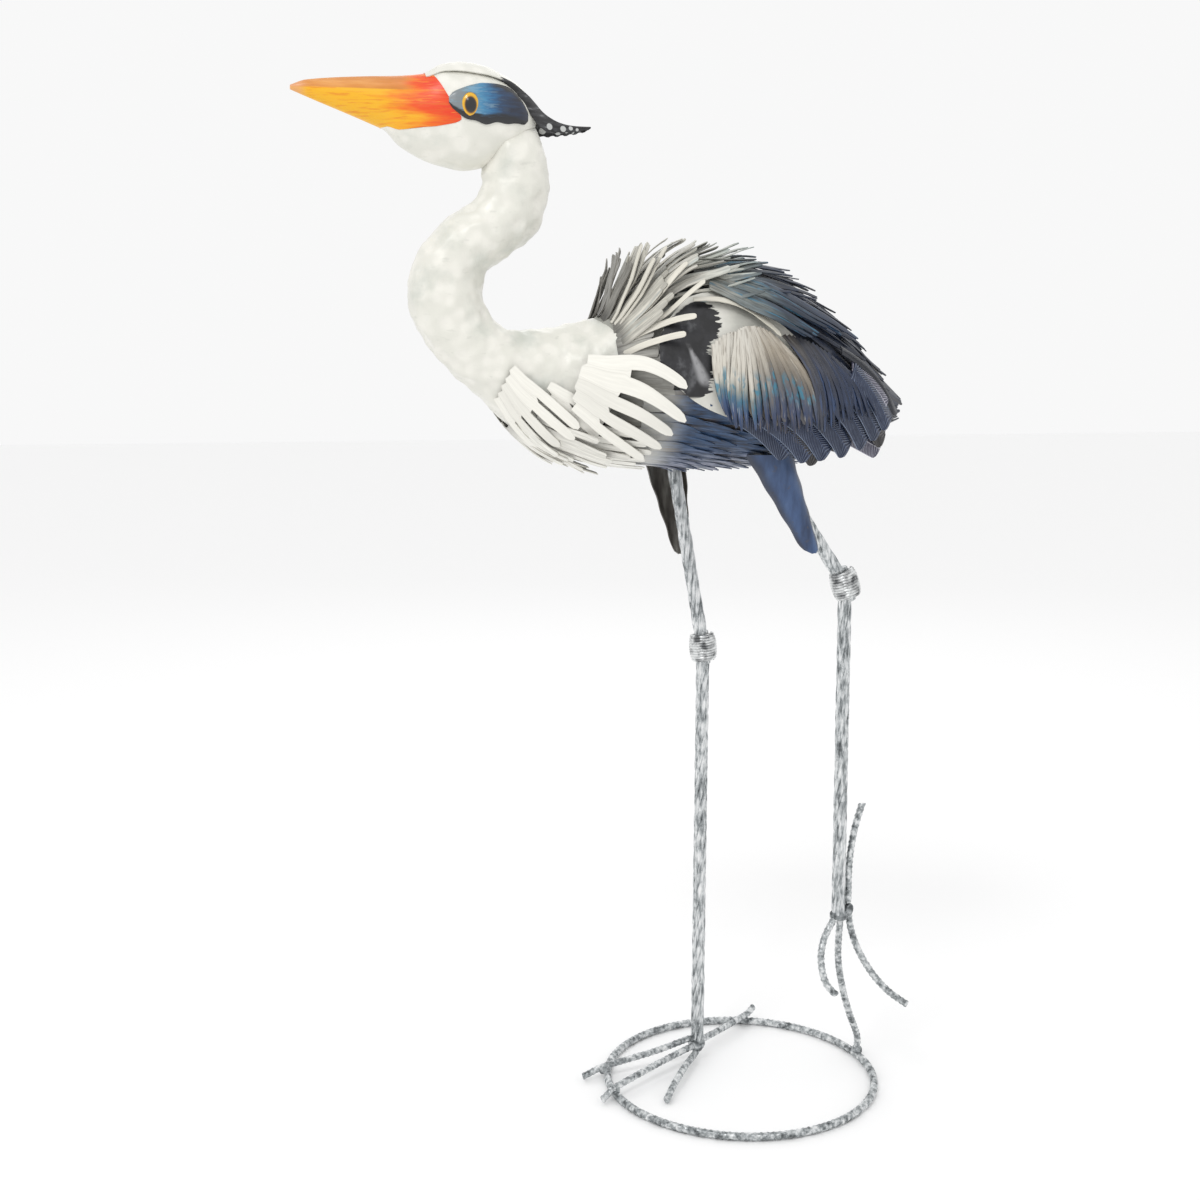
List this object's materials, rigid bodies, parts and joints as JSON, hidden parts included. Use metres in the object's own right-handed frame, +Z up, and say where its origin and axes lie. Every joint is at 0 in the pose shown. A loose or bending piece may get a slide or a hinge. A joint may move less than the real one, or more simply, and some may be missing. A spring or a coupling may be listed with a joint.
{
  "type": "heron garden statue",
  "caption": "Painted sheet-metal heron with an S-shaped neck, standing on one twisted-rod leg on a ground ring, the other foot lifted.",
  "frame": {"origin": "bottom centre of the whole bird's box, on the ground under it", "axes": "+Z up, the beak points along -X, the bird's left side is -Y"},
  "size_m": [0.584, 0.278, 0.9866],
  "materials": {
    "cream": "satin brushed paint",
    "stone": "satin brushed paint",
    "navy": "satin brushed paint",
    "blue": "satin brushed paint",
    "grey": "satin paint",
    "black": "satin paint",
    "orange": "glossy brushed paint",
    "yellow": "gloss paint",
    "steel": "galvanised"
  },
  "bodies": {
    "root": {"back_comb_front": "navy", "back_comb_middle": "navy", "back_comb_rear": "navy", "beak": "orange", "belly_comb_front": "blue", "belly_comb_middle": "blue", "belly_comb_rear": "blue", "body_shell": "grey", "collar_comb_front": "cream", "collar_comb_middle": "cream", "collar_comb_rear": "cream", "crown_cap": "cream", "ground_ring": "steel", "head_shell": "cream", "keel_comb": "cream", "left_breast_plate_front": "cream", "left_breast_plate_middle": "cream", "left_breast_plate_rear": "cream", "left_covert_fan_front": "stone", "left_covert_fan_middle": "stone", "left_covert_fan_rear": "navy", "left_crest_plume": "black", "left_eye": "yellow", "left_primary_comb": "navy", "left_shoulder_plate": "stone", "left_tail_comb": "navy", "left_thigh_plate": "blue", "lifted_knee_coil": "steel", "lifted_shank": "steel", "lifted_toe_hind": "steel", "lifted_toe_inner": "steel", "lifted_toe_middle": "steel", "lifted_toe_outer": "steel", "lifted_upper_leg": "steel", "neck_shell": "cream", "right_breast_plate_front": "cream", "right_breast_plate_middle": "cream", "right_breast_plate_rear": "cream", "right_covert_fan_front": "stone", "right_covert_fan_middle": "stone", "right_covert_fan_rear": "navy", "right_crest_plume": "black", "right_eye": "yellow", "right_primary_comb": "navy", "right_shoulder_plate": "stone", "right_tail_comb": "navy", "right_thigh_plate": "blue", "rump_comb": "navy", "standing_knee_coil": "steel", "standing_shank": "steel", "standing_toe_hind": "steel", "standing_toe_inner": "steel", "standing_toe_middle": "steel", "standing_toe_outer": "steel", "standing_upper_leg": "steel", "throat_comb": "cream"}
  },
  "joints": []
}
